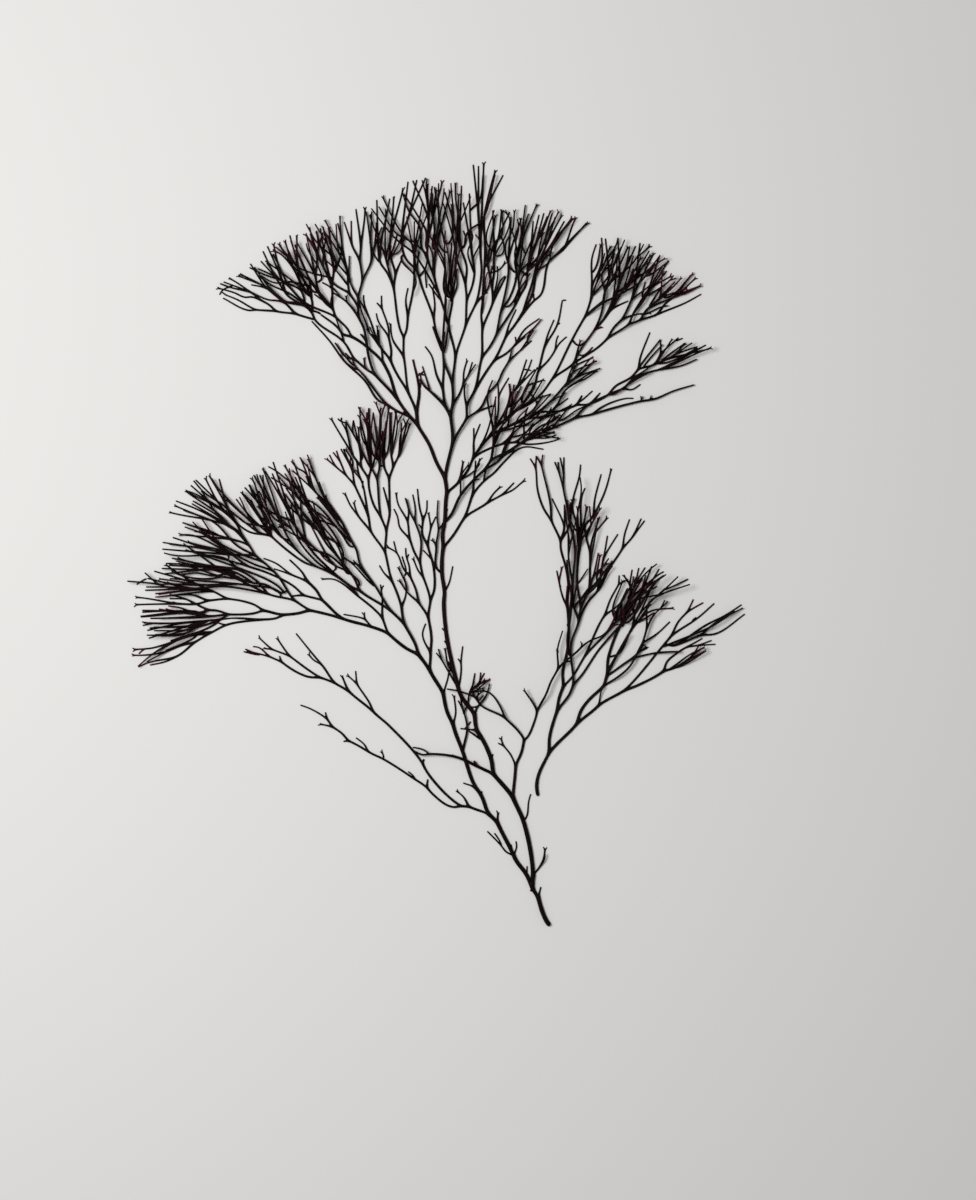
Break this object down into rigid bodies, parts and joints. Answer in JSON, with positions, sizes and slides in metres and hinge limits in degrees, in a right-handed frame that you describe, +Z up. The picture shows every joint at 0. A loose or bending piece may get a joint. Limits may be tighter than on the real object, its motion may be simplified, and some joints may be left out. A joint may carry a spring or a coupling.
{
  "type": "melanthalia seaweed",
  "caption": "Dried, pressed seaweed lying flat: a forked plant of fine flattened branches that end in dense fans, with one branch broken off beside it.",
  "frame": {"origin": "on the surface it lies on, under the middle of its outline", "axes": "+Y from the cut end of the trunk up to the crown, +X to the right as seen from above, +Z up from the surface"},
  "size_m": [0.237, 0.2926, 0.0049],
  "materials": {
    "thallus": "dried alga, near black with a dark red cast, faint satin sheen",
    "side_branch": "dried alga, near black with a dark red cast, faint satin sheen"
  },
  "bodies": {
    "root": {"thallus": "thallus", "side_branch": "side_branch"}
  },
  "joints": []
}
